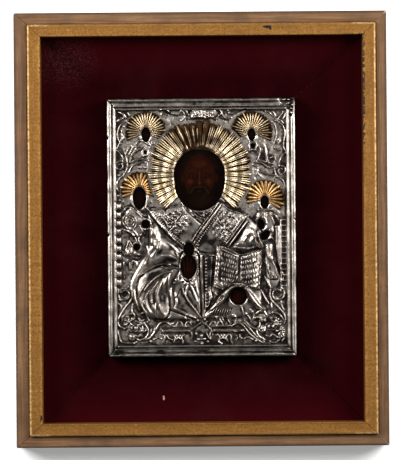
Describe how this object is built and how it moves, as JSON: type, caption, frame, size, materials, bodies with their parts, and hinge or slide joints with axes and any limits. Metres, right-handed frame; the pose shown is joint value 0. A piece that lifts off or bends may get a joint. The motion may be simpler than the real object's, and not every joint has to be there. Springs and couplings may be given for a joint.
{
  "type": "framed icon panel",
  "caption": "Small painted icon under a silver relief cover with gilt ray halos, set on a velvet mount in a deep wooden shadow-box frame.",
  "frame": {"origin": "centre of the back face, where the panel lies on a table or meets a wall", "axes": "+Z out of the picture, +Y to the top of the icon, +X to the right of the icon as seen"},
  "size_m": [0.318, 0.371, 0.0425],
  "materials": {
    "stained_wood": "brown stained moulding, dull, rubbed at the arrises",
    "gold_paint": "bronze-gold paint on wood, satin, chipped along the inner edge",
    "red_velvet": "dark wine-red velvet with lint",
    "bare_board": "bare thin board",
    "painted_board": "darkened painting under old varnish",
    "aged_silver": "raised silver, bright on the high places, black in the hollows",
    "worn_gilt": "worn gilding over silver, paler at the edges"
  },
  "bodies": {
    "root": {"frame_rail_top": "stained_wood", "frame_rail_bottom": "stained_wood", "frame_rail_left": "stained_wood", "frame_rail_right": "stained_wood", "gilt_slip_top": "gold_paint", "gilt_slip_bottom": "gold_paint", "gilt_slip_left": "gold_paint", "gilt_slip_right": "gold_paint", "velvet_mount_top": "red_velvet", "velvet_mount_bottom": "red_velvet", "velvet_mount_left": "red_velvet", "velvet_mount_right": "red_velvet", "backboard": "bare_board", "icon_board": "painted_board", "silver_cover": "aged_silver", "halo_main": "worn_gilt", "halo_top_left": "worn_gilt", "halo_top_right": "worn_gilt", "halo_mid_left": "worn_gilt", "halo_mid_right": "worn_gilt"}
  },
  "joints": []
}
